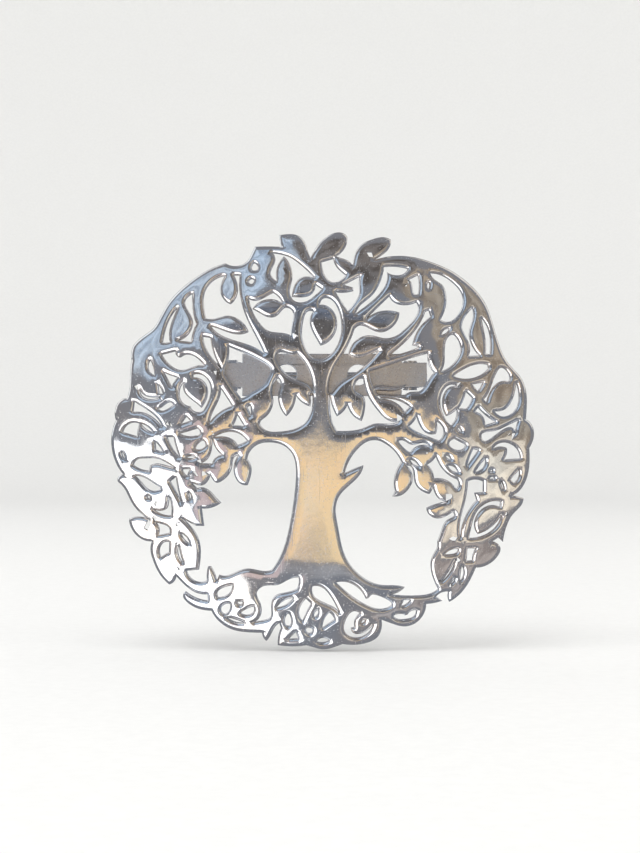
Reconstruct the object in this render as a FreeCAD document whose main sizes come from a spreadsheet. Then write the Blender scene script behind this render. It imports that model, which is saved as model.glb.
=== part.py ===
"""Tree of life brooch: a domed and pierced metal disc with a bar pin on its back.

Frame: +Z up the trunk, +X to the right as the brooch is worn and seen, -Y towards the viewer.
The origin is on the needle's axis, at the middle of its straight length, where cloth holds the brooch.
The ornament is drawn in millimetres from the centre of the disc, x to the right and z up.
"""
import FreeCAD
import Part
import math
import os

import Sketcher

Vector = FreeCAD.Vector
doc = FreeCAD.newDocument("tree_of_life_brooch")

# ---------------------------------------------------------------- driving dimensions, in millimetres

SIZES = {
    "disc_drop": 7.85,          # the disc's centre lies this far below the bar
    "plate_thickness": 1.1,
    "flat_radius": 14.0,        # the disc is flat inside this radius
    "dome_radius": 30.0,        # and curves back on this radius outside it
    "blank_radius": 26.5,       # the round blank that the outline is cut from
    "solder_gap": 0.12,
    "bar_length": 18.8,
    "bar_width": 5.0,
    "bar_thickness": 0.6,
    "bar_corner": 0.5,
    "bar_hole_radius": 1.23,
    "bar_hole_spacing": 8.46,
    "axis_height": 1.9,         # from the bar's back to the axes of the needle and the catch
    "hinge_reach": 10.5,        # from the middle to the rivet, towards +X
    "ear_width": 2.9,           # over both ears
    "ear_thickness": 0.5,
    "ear_radius": 1.2,
    "rivet_radius": 0.5,
    "rivet_head_radius": 0.85,
    "rivet_head_height": 0.3,
    "needle_radius": 0.4,
    "eye_radius": 1.05,
    "eye_height": 1.7,
    "eye_clearance": 0.05,
    "collar_radius": 0.6,       # the needle thickens where it meets its eye
    "collar_start": 9.0,
    "needle_end": 9.1,          # where the point's taper starts
    "needle_point": 2.7,
    "catch_start": 10.1,
    "catch_length": 1.5,
    "catch_outer": 1.85,
    "catch_inner": 1.35,
    "catch_mouth": 1.5,
    "roller_radius": 1.3,
    "roller_bore": 0.62,
    "roller_slot": 1.1,
    "flange_radius": 1.6,
    "flange_width": 0.35,
    "flange_gap": 0.08,
    "tab_reach": 2.75,
    "tab_width": 1.1,
}

sheet = doc.addObject("Spreadsheet::Sheet", "Sizes")
for row, (alias, value) in enumerate(SIZES.items(), start=1):
    sheet.set("A%d" % row, alias)
    sheet.set("B%d" % row, str(value))
    sheet.setAlias("B%d" % row, alias)
doc.recompute()


def size(alias):
    """A driving dimension, read from the sheet."""
    return float(sheet.get(alias))


BAR_BACK = -size("axis_height")
BAR_FRONT = BAR_BACK - size("bar_thickness")
PLATE_BACK = BAR_FRONT - size("solder_gap")
PLATE_FRONT = PLATE_BACK - size("plate_thickness")

# The same levels as expressions, for the objects that are bound to the sheet.
BAR_BACK_IS = "-Sizes.axis_height"
BAR_FRONT_IS = BAR_BACK_IS + " - Sizes.bar_thickness"
PLATE_BACK_IS = BAR_FRONT_IS + " - Sizes.solder_gap"
PLATE_FRONT_IS = PLATE_BACK_IS + " - Sizes.plate_thickness"


# ---------------------------------------------------------------- the ornament's curves

def sharp(x, z):
    """A point where an outline turns a corner."""
    return (x, z, "sharp")


def edge_through(points):
    """A straight edge through two points, an arc through three, a smooth curve through more."""
    places = [Vector(p[0], 0, p[1]) for p in points]
    if len(places) == 2:
        return Part.makeLine(places[0], places[1])
    if len(places) == 3:
        return Part.Arc(places[0], places[1], places[2]).toShape()
    curve = Part.BSplineCurve()
    curve.interpolate(places)
    return curve.toShape()


def outline(points):
    """A closed wire: smooth through plain points, and broken at each sharp one."""
    corners = [i for i, p in enumerate(points) if len(p) == 3]
    if not corners:
        curve = Part.BSplineCurve()
        curve.interpolate([Vector(p[0], 0, p[1]) for p in points], PeriodicFlag=True)
        return Part.Wire(curve.toShape())
    first = corners[0]
    turned = points[first:] + points[:first] + [points[first]]
    edges = []
    run = [turned[0]]
    for point in turned[1:]:
        run.append(point)
        if len(point) == 3:
            edges.append(edge_through(run))
            run = [point]
    return Part.Wire(edges)


# The rim, clockwise from the left end of the crown: leaf tips, the outer arcs and the root tips.
RIM = [
    sharp(-7.95, 23.1), (-6.4, 23.12), sharp(-4.75, 23.05), (-5.0, 23.8), sharp(-5.08, 24.5),
    (-4.0, 24.62), (-2.9, 24.45), (-2.15, 23.8), (-1.75, 22.8), sharp(-1.35, 21.7),
    (-0.9, 22.6), (-0.2, 23.6), (0.7, 24.35), (1.7, 24.8), (2.55, 24.7), sharp(3.02, 24.2),
    (2.95, 23.5), (2.5, 22.6), sharp(1.65, 21.9), (2.2, 21.7), (2.8, 21.5), sharp(3.6, 20.85),
    (3.8, 21.8), (4.15, 22.7), (4.9, 23.5), (6.0, 24.0), (7.1, 24.27), sharp(8.15, 24.0),
    (8.1, 23.2), (7.4, 22.3), sharp(6.2, 21.5),
    (7.6, 21.85), (9.3, 22.0), (11.2, 21.8), (13.4, 21.15), (15.5, 20.2), (17.2, 19.0),
    (18.6, 17.6), (19.7, 15.8), (20.3, 13.9), (20.9, 11.8), (21.5, 10.2), (22.5, 8.8),
    (23.6, 7.6), (24.2, 6.2), (24.33, 4.4), sharp(24.2, 2.6),
    (24.9, 2.0), (25.2, 0.9), (24.95, -0.2), sharp(24.62, -0.8),
    (24.65, -2.6), (24.2, -4.7), (23.5, -5.8), sharp(22.6, -6.45),
    (23.3, -6.55), sharp(23.95, -6.75), (23.6, -7.7), (22.7, -8.6), (22.0, -9.8), sharp(21.5, -11.95),
    sharp(20.9, -11.4), sharp(20.15, -11.9), (20.8, -12.1), (21.2, -12.7), (20.9, -13.6),
    (20.1, -14.4), (19.2, -14.85), sharp(18.25, -14.95), (17.6, -16.4), (16.6, -17.9),
    sharp(15.1, -19.05), (14.92, -18.5), sharp(15.0, -17.8), (14.3, -17.85), sharp(13.5, -18.4),
    sharp(14.25, -18.9), (13.3, -19.15), sharp(12.35, -19.25), (12.0, -20.6), (11.2, -21.5),
    (10.0, -21.95), (8.6, -21.7), sharp(7.05, -21.1), (7.05, -22.2), (6.6, -23.2), (5.4, -23.9),
    (4.0, -24.15), sharp(2.45, -24.05), (1.4, -24.45), (0.1, -24.7), (-1.0, -24.45),
    sharp(-1.85, -24.2), (-3.5, -24.35), sharp(-5.25, -24.2), (-5.2, -23.2), sharp(-4.85, -22.1),
    sharp(-5.05, -21.5), (-5.7, -22.2), (-6.15, -23.1), sharp(-6.6, -23.7), (-6.95, -23.3),
    sharp(-7.1, -22.7), (-9.0, -22.65), (-10.8, -22.3), (-12.2, -21.4), sharp(-13.1, -20.1),
    (-14.6, -19.9), (-15.8, -19.3), (-16.5, -18.35), sharp(-16.2, -17.8), (-15.1, -18.5),
    sharp(-13.5, -18.9), sharp(-13.55, -18.1), (-15.2, -17.8), (-16.4, -16.9), sharp(-17.3, -15.95),
    (-17.6, -16.7), sharp(-18.15, -17.0), (-19.4, -15.6), (-20.1, -14.0), (-20.35, -12.8),
    sharp(-20.15, -11.85), (-21.4, -11.6), (-22.5, -10.6), sharp(-22.92, -9.2), (-22.0, -8.95),
    sharp(-20.5, -9.2), (-21.5, -8.5), (-22.6, -7.2), (-23.2, -6.0), sharp(-24.25, -4.8),
    (-24.15, -4.2), sharp(-23.6, -3.9), (-24.4, -2.7), (-24.95, -1.0), (-24.98, 0.9),
    sharp(-24.45, 2.5), (-24.6, 3.6), (-23.9, 4.9), sharp(-23.1, 5.1), (-22.8, 6.4), (-22.75, 8.2),
    sharp(-22.6, 9.6), (-22.65, 10.6), sharp(-22.4, 11.4), (-21.2, 12.5), (-20.0, 13.4),
    (-19.2, 14.7), (-18.1, 16.6), (-16.6, 18.2), (-14.9, 19.5), (-13.1, 20.55), sharp(-11.4, 21.1),
    (-9.9, 20.8), (-9.0, 21.2), (-8.4, 22.1),
]

# The two large openings beside the trunk, with the leaves and thorns that reach into them.
LEFT_WINDOW = [
    sharp(-9.8, -1.62), (-10.2, -2.2), (-10.4, -3.1), (-10.25, -4.1), (-9.7, -4.9), sharp(-8.75, -5.15),
    (-8.45, -4.3), (-8.3, -3.2), sharp(-8.8, -2.1), (-8.3, -0.95), (-7.4, -0.3), (-6.0, -0.12),
    (-4.7, -0.4), (-3.6, -1.3), (-3.1, -2.8), (-3.1, -4.8), (-3.4, -7.4), (-3.9, -10.2),
    (-4.6, -12.7), sharp(-5.95, -15.15), (-7.2, -15.25), (-8.7, -15.0), (-10.0, -15.35),
    (-11.2, -15.85), sharp(-12.15, -15.75), sharp(-12.4, -16.4), (-12.7, -15.5), sharp(-13.1, -14.75),
    sharp(-13.45, -14.75), (-13.6, -15.6), sharp(-13.6, -16.45), (-14.8, -16.6), (-15.6, -16.1),
    sharp(-16.0, -15.3), sharp(-14.55, -15.15), (-14.35, -13.8), (-14.35, -12.4), (-14.8, -10.95),
    (-15.35, -10.15), sharp(-16.4, -9.05), (-15.6, -9.55), sharp(-14.8, -9.93), sharp(-13.9, -9.95),
    sharp(-14.15, -7.9), (-13.0, -7.8), sharp(-11.85, -7.2), (-12.7, -6.35), (-13.5, -5.6),
    sharp(-14.7, -5.5), sharp(-15.3, -4.9), (-14.75, -5.1), (-14.0, -5.15), (-13.5, -4.75),
    sharp(-13.15, -3.95), (-12.85, -4.5), (-12.45, -4.85), (-11.7, -4.6), (-10.9, -3.8),
    (-10.55, -2.8), (-10.45, -2.1),
]
RIGHT_WINDOW = [
    sharp(2.7, -3.7), (3.3, -2.1), (4.2, -0.9), (5.4, 0.0), (6.5, 0.12), (7.5, -0.3), (8.5, -1.1),
    sharp(9.35, -2.4), (8.8, -3.3), (8.5, -4.3), sharp(8.6, -5.8), sharp(8.3, -6.45), (9.3, -6.35),
    (10.2, -5.6), sharp(10.66, -4.7), (10.5, -3.5), sharp(9.95, -2.85), (10.5, -3.0), (10.8, -4.0),
    (11.0, -5.0), (11.7, -5.8), sharp(12.6, -6.2), (12.95, -5.7), sharp(13.05, -5.25), (13.4, -6.3),
    (13.9, -6.85), sharp(14.6, -7.05), (13.6, -7.3), sharp(12.3, -7.8), (12.6, -8.6), (13.4, -9.05),
    (14.4, -8.9), sharp(15.4, -8.3), (15.6, -8.7), (14.8, -9.25), (14.1, -10.4), sharp(13.6, -11.85),
    (13.6, -12.4), (13.0, -13.6), (12.85, -15.0), (13.15, -16.2), sharp(13.75, -17.5),
    (12.6, -18.1), (11.0, -18.25), (9.5, -18.22), sharp(8.1, -18.05), (9.2, -17.7), sharp(9.75, -17.2),
    (8.6, -17.0), (7.0, -16.95), (5.6, -16.5), (4.2, -15.5), (3.0, -14.0), (2.3, -12.2),
    (1.85, -9.8), (1.6, -7.9), (2.0, -6.5), (3.3, -5.1), (4.4, -4.0), sharp(4.88, -2.8), (3.9, -3.15),
]

# The openings of the crown above the bar, from left to right.
CROWN_OPENINGS = [
    # round the two leaves under the crown's left arch
    [sharp(-5.85, 22.3), (-4.8, 22.15), (-3.7, 21.75), (-2.6, 20.95), (-1.7, 20.15), sharp(-0.95, 19.3),
     (-1.7, 19.45), (-2.5, 19.3), (-3.15, 18.6), sharp(-3.55, 17.05), (-2.6, 16.98), (-1.7, 17.1),
     sharp(-0.75, 18.45), sharp(-0.02, 17.95), (-1.0, 17.05), (-2.3, 16.38), (-3.3, 16.6), (-3.78, 17.6),
     (-3.5, 19.2), (-3.7, 20.7), sharp(-4.5, 21.9), (-5.15, 21.0), sharp(-5.35, 18.95),
     (-5.95, 20.4), (-5.55, 21.3)],
    [(-8.0, 21.1), (-7.68, 20.85), sharp(-7.62, 20.3), (-8.3, 20.55)],
    [sharp(-8.5, 19.1), (-8.1, 19.1), sharp(-8.1, 18.75), (-8.4, 18.6)],
    # round the leaf that points left
    [sharp(-8.6, 16.8), (-7.8, 16.6), (-6.9, 16.9), sharp(-5.75, 17.52), (-5.2, 17.1), sharp(-4.72, 16.35),
     (-5.6, 16.72), (-6.7, 16.7), sharp(-8.2, 15.6), (-7.2, 15.05), (-6.0, 14.6), (-5.1, 15.0),
     (-4.3, 15.75), (-3.6, 15.5), (-3.42, 14.4), sharp(-3.6, 12.45), (-4.8, 12.8), (-6.2, 13.0),
     (-7.3, 13.9), (-8.2, 15.4)],
    # round the leaf that hangs in the middle
    [sharp(-1.0, 15.3), (-1.7, 15.3), (-2.2, 14.2), (-2.35, 12.6), (-1.9, 10.9), (-0.9, 9.8), (0.2, 9.75),
     (1.3, 10.6), (2.1, 12.2), (2.25, 14.0), (1.8, 15.8), (1.1, 16.7), (0.4, 16.9), sharp(-0.25, 16.1),
     (0.8, 15.85), (1.55, 15.0), (1.8, 13.9), (1.3, 12.3), sharp(-0.2, 11.3), (-1.1, 12.9), (-1.45, 14.2)],
    [sharp(0.0, 21.2), (0.7, 21.4), sharp(1.35, 21.6), (1.6, 20.8), (2.1, 20.2), sharp(2.75, 19.65),
     (2.1, 18.95), (1.3, 18.75), (0.6, 19.2), (0.1, 20.3)],
    [sharp(2.6, 18.45), (3.5, 18.95), sharp(4.45, 19.45), (4.35, 18.5), (4.4, 17.6), (3.95, 16.5),
     sharp(3.05, 15.35), (2.3, 16.5), sharp(1.6, 17.6), (2.8, 17.55), sharp(3.7, 17.75), sharp(3.65, 18.15)],
    [sharp(4.0, 15.1), (4.6, 16.1), (5.8, 17.1), (6.7, 18.4), sharp(7.35, 20.65), (8.7, 20.7),
     sharp(10.15, 20.45), (9.6, 19.8), (9.1, 19.65), sharp(7.7, 19.98), (7.6, 18.8), (7.0, 17.7),
     (5.6, 16.3)],
    [sharp(10.25, 19.05), (10.8, 19.4), sharp(11.35, 19.65), (11.45, 18.6), sharp(11.35, 17.4),
     (10.95, 17.35), (10.7, 18.1)],
    # the long gap from the right of the trunk up and round two leaves
    [sharp(7.95, 17.1), (8.6, 16.35), (9.6, 16.08), sharp(11.15, 16.42), (11.35, 15.5), (10.9, 14.5),
     (10.0, 13.5), (8.9, 12.55), (7.4, 12.15), (6.2, 12.42), (4.9, 12.4), (3.7, 11.6), sharp(3.1, 10.3),
     (3.7, 9.88), (5.1, 10.0), sharp(6.6, 10.65), (5.7, 9.6), (4.4, 8.4), sharp(3.0, 7.45), (2.1, 6.8),
     sharp(1.15, 5.7), sharp(0.8, 5.72), (0.95, 7.2), (1.5, 8.7), (2.4, 10.1), (3.2, 11.6),
     sharp(3.85, 13.25), (4.7, 13.65), (5.7, 13.25), (6.9, 12.85), (8.1, 13.3), sharp(9.12, 15.2),
     (8.0, 15.42), (6.7, 15.3), sharp(5.3, 14.5), (6.4, 15.6)],
    [sharp(7.9, 10.05), (9.5, 11.4), (11.1, 13.2), sharp(12.2, 15.3), sharp(12.6, 15.45),
     sharp(12.8, 14.7), (11.4, 13.3), sharp(10.62, 11.35), sharp(11.4, 11.12), (9.8, 10.5)],
    [(12.62, 18.8), (12.7, 18.4), (12.55, 18.05), (12.45, 18.4)],
    [sharp(12.85, 19.95), (14.1, 19.75), (15.6, 18.8), (16.55, 17.6), (16.7, 16.3), (16.1, 15.0),
     (15.2, 14.2), sharp(14.0, 14.35), (14.6, 15.8), (14.7, 17.4), (14.2, 18.6), (13.4, 19.15)],
    [sharp(17.85, 15.8), (17.2, 15.1), (16.55, 13.6), (17.1, 12.2), sharp(17.32, 10.1), sharp(18.6, 10.15),
     (17.7, 11.4), (17.4, 12.8), (17.85, 14.4)],
    [sharp(18.95, 14.6), (19.6, 13.6), (19.95, 12.0), sharp(19.9, 10.3), sharp(19.35, 10.35),
     (19.35, 12.2), (19.1, 13.6)],
    [sharp(15.0, 13.3), (14.5, 13.15), sharp(14.1, 12.6), (14.6, 12.8)],
    [(15.4, 12.6), (16.05, 12.0), (16.35, 10.9), (16.0, 9.85), sharp(14.1, 8.3), (14.45, 9.5), (14.5, 11.3),
     (14.85, 12.25)],
]

# The openings on the left of the crown, from the top down.
LEFT_OPENINGS = [
    # round the hanging leaf and the leaf that points right
    [sharp(-11.45, 19.6), (-12.8, 19.1), (-13.8, 17.9), (-14.0, 16.2), sharp(-13.7, 14.5), (-12.6, 14.5),
     (-11.2, 14.82), (-9.8, 14.4), sharp(-8.65, 12.9), (-9.8, 12.6), (-11.2, 12.9), sharp(-13.05, 13.55),
     (-12.0, 12.6), (-9.8, 11.75), sharp(-6.85, 10.4), (-7.6, 12.0), (-8.8, 14.3), (-9.6, 16.8),
     sharp(-9.75, 19.65), sharp(-10.4, 19.65), (-9.95, 18.4), (-10.1, 17.1), sharp(-10.8, 16.2),
     (-11.7, 16.9), (-12.05, 18.0), (-11.85, 18.9)],
    [sharp(-15.35, 17.5), (-16.2, 16.2), (-15.6, 15.1), (-15.25, 14.0), (-15.7, 12.75), sharp(-16.9, 11.9),
     sharp(-15.45, 11.75), (-15.3, 12.7), sharp(-14.85, 13.85), (-15.3, 15.5)],
    [sharp(-17.15, 15.8), (-17.9, 14.8), (-18.55, 13.2), sharp(-18.85, 11.65), sharp(-18.0, 11.75),
     (-18.05, 13.2), (-17.6, 14.7)],
    [sharp(-18.9, 10.25), sharp(-17.25, 10.65), (-17.15, 10.1), (-16.8, 9.9), (-16.4, 10.1),
     (-15.5, 10.2), (-14.7, 9.8), sharp(-13.9, 8.95), (-15.2, 8.8), (-16.6, 8.42), (-17.8, 8.95)],
    [sharp(-14.0, 12.35), sharp(-13.15, 12.2), (-12.95, 11.0), sharp(-11.9, 8.6), (-12.9, 9.8),
     (-13.75, 11.2)],
    # round the bar's stepped end
    [sharp(-10.95, 11.15), (-9.0, 10.35), (-7.0, 9.35), (-6.05, 8.5), (-6.3, 7.5), sharp(-6.6, 6.9),
     (-7.3, 6.3), sharp(-8.25, 5.75), (-8.9, 5.3), sharp(-9.5, 5.05), (-10.1, 5.9), sharp(-11.4, 7.9),
     sharp(-11.4, 8.65), (-11.1, 9.4)],
    [sharp(-20.3, 9.6), (-20.0, 8.9), sharp(-19.8, 7.85), (-20.5, 8.5)],
    [sharp(-18.6, 8.1), (-17.9, 7.8), sharp(-17.05, 7.5), (-17.5, 7.0), sharp(-17.7, 6.45), (-18.1, 7.2)],
    [sharp(-19.35, 6.7), (-19.0, 6.2), sharp(-18.82, 5.65), sharp(-19.2, 5.65)],
    [sharp(-21.55, 6.15), (-21.0, 5.45), (-20.1, 5.2), sharp(-19.2, 5.2), (-20.2, 5.0), (-21.1, 5.25)],
    [sharp(-22.2, 4.7), (-21.0, 3.95), (-19.8, 3.1), sharp(-18.85, 1.75), (-19.9, 2.8), (-20.9, 3.35),
     sharp(-22.35, 3.5)],
    [sharp(-19.3, 3.85), (-18.5, 4.35), (-17.9, 4.62), sharp(-17.5, 4.3), (-18.4, 3.75), (-19.0, 3.65)],
    # round the leaf in the ring
    [sharp(-15.15, 7.85), (-14.1, 7.8), (-13.3, 7.0), (-13.1, 5.9), (-13.5, 4.5), (-14.3, 3.5),
     (-15.1, 3.6), sharp(-15.5, 4.15), (-16.6, 4.85), (-16.8, 5.8), sharp(-16.25, 6.95), (-16.15, 5.7),
     (-15.2, 4.8), sharp(-14.2, 3.95), (-13.55, 5.1), (-13.5, 6.4), (-14.1, 7.25), sharp(-15.15, 7.55)],
    [sharp(-16.5, 2.1), (-16.2, 2.6), sharp(-15.95, 2.9), sharp(-15.5, 2.45)],
    [sharp(-11.9, 6.2), (-11.3, 5.3), sharp(-10.6, 4.2), (-11.8, 3.65), sharp(-13.2, 2.3), (-12.65, 3.9),
     (-12.05, 5.2)],
    [sharp(-9.95, 3.1), (-10.15, 2.5), sharp(-10.4, 1.9), sharp(-9.2, 1.85), (-9.6, 2.5)],
    [sharp(-8.8, 4.05), sharp(-8.42, 4.2), (-8.38, 3.6), sharp(-8.4, 3.1), (-8.55, 3.6)],
    [sharp(-12.6, 0.55), (-11.6, 1.0), (-10.5, 1.1), (-9.5, 0.75), sharp(-8.85, 0.1), (-9.4, -0.2),
     sharp(-9.95, -0.38), (-10.7, 0.35), (-11.6, 0.6)],
    [sharp(-23.6, 1.1), (-23.1, 1.9), sharp(-21.6, 2.1), (-21.8, 1.4), sharp(-21.85, 0.6), (-22.7, 0.85)],
    [sharp(-21.4, 2.12), (-20.7, 1.8), sharp(-19.98, 1.12), (-20.6, 1.35)],
    [sharp(-19.65, 0.0), (-19.3, -0.4), sharp(-18.8, -1.2), sharp(-19.6, -0.98)],
    [sharp(-18.2, 0.5), sharp(-17.5, 0.5), (-17.2, -0.7), sharp(-16.8, -1.8), (-17.6, -0.8)],
    [sharp(-16.7, 0.92), (-15.6, 1.22), sharp(-14.7, 1.5), (-14.36, 1.12), sharp(-14.85, 0.7),
     (-15.75, 0.63)],
    [sharp(-14.85, -0.85), (-14.5, -0.2), (-13.9, 0.05), (-13.7, -0.4), (-14.1, -0.82)],
    [sharp(-15.9, -1.87), (-15.4, -1.75), sharp(-14.9, -1.82), (-15.4, -1.96)],
    [sharp(-12.88, 0.3), (-12.5, -0.8), sharp(-11.8, -1.55), (-12.6, -1.95), sharp(-12.95, -2.6),
     sharp(-14.2, -2.55), (-13.4, -2.0), (-13.0, -1.0)],
    [sharp(-22.3, -2.8), (-21.9, -2.2), (-20.8, -2.0), (-19.4, -2.05), (-18.3, -2.5), sharp(-17.4, -3.05),
     (-18.5, -2.78), (-19.5, -2.6), sharp(-20.3, -2.85), sharp(-20.42, -3.45), (-21.6, -3.2)],
    [sharp(-22.1, -4.1), (-21.2, -4.2), (-20.0, -4.85), sharp(-19.05, -5.4), sharp(-19.1, -5.65),
     (-20.6, -5.6), (-21.3, -4.9)],
    [sharp(-17.85, -4.7), sharp(-17.2, -4.2), (-17.0, -5.6), sharp(-16.55, -7.1), (-17.3, -5.7)],
    [sharp(-16.4, -3.3), sharp(-15.5, -3.25), (-15.75, -3.6), sharp(-15.85, -4.05), (-16.2, -3.75)],
    [sharp(-15.65, -6.0), (-15.45, -6.3), sharp(-15.45, -6.8), (-15.62, -6.4)],
    [(-20.6, -6.5), (-20.4, -6.45), (-20.35, -6.7), (-20.52, -6.72)],
    [sharp(-18.0, -6.5), (-17.75, -7.6), sharp(-17.8, -8.7), (-18.9, -8.6), sharp(-19.9, -8.0),
     (-19.0, -8.2), (-18.35, -7.95), (-18.08, -7.3)],
    [sharp(-23.75, -1.2), (-23.45, -1.65), sharp(-23.38, -2.1), (-23.6, -1.8)],
    [sharp(-19.7, -9.5), (-18.8, -9.8), (-18.15, -10.1), sharp(-18.0, -10.8), sharp(-19.35, -11.1),
     (-19.25, -10.3)],
    [sharp(-18.05, -11.9), (-18.8, -12.05), (-19.22, -12.8), sharp(-19.08, -13.75), (-18.6, -13.35),
     sharp(-18.1, -13.15)],
    [sharp(-16.9, -12.3), (-16.72, -13.4), sharp(-16.4, -14.35), (-16.95, -13.5)],
    [sharp(-16.6, -10.85), (-16.05, -11.25), sharp(-15.6, -12.05), (-16.25, -11.55)],
]

# The openings under the bar on both sides of the trunk's neck, and the one above the right branch.
NECK_OPENINGS = [
    [sharp(-5.35, 9.7), (-4.9, 10.5), (-4.0, 10.3), sharp(-2.95, 10.3), (-2.0, 9.2), (-1.3, 7.6),
     sharp(-1.1, 5.95), (-1.9, 6.85), (-3.0, 7.3), (-4.4, 8.2)],
    [sharp(-5.85, 5.5), (-5.95, 3.8), (-6.6, 2.9), (-7.3, 2.2), (-6.7, 1.4), (-5.2, 1.15), (-3.5, 1.4),
     (-2.0, 2.25), (-1.3, 3.6), sharp(-1.15, 5.7), sharp(-1.38, 5.6), (-1.3, 4.9), sharp(-1.38, 4.1),
     (-2.3, 4.55), sharp(-3.05, 5.35), (-3.4, 4.0), sharp(-4.2, 2.95), (-5.0, 4.2), (-5.15, 5.6),
     (-4.9, 7.0), sharp(-5.2, 7.5), (-5.7, 6.6)],
    [sharp(0.9, 5.5), (0.95, 4.0), (1.2, 2.4), sharp(1.8, 1.25), (3.2, 1.25), (4.8, 1.55), (6.2, 2.1),
     (7.4, 2.1), sharp(8.9, 2.3), (7.6, 2.6), (6.6, 3.6), (5.6, 5.0), sharp(4.85, 7.5), (4.0, 6.9),
     (3.95, 6.0), (4.8, 5.4), (5.1, 4.2), sharp(4.65, 2.4), (3.7, 3.0), sharp(3.0, 4.25), (2.4, 3.4),
     sharp(1.75, 2.95), (1.25, 4.0)],
    [sharp(5.65, 8.2), (7.6, 8.8), (9.6, 9.5), sharp(12.45, 10.35), (12.55, 9.2), sharp(13.2, 8.1),
     (12.4, 7.0), (11.4, 5.9), (10.6, 5.85), sharp(9.8, 5.5), (8.0, 5.5), sharp(6.6, 5.6), (5.95, 6.8)],
    [sharp(6.8, 5.0), (8.6, 4.9), sharp(10.3, 4.1), sharp(9.75, 3.5), (8.9, 4.45)],
]
# The small leaf that crosses the opening above the right branch.
CROSSING_LEAF = [
    sharp(6.0, 6.3), (7.2, 6.6), (8.4, 6.45), sharp(9.95, 6.72), (9.2, 6.1), (7.8, 5.88), (6.8, 5.95),
    sharp(6.0, 5.9),
]

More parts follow.
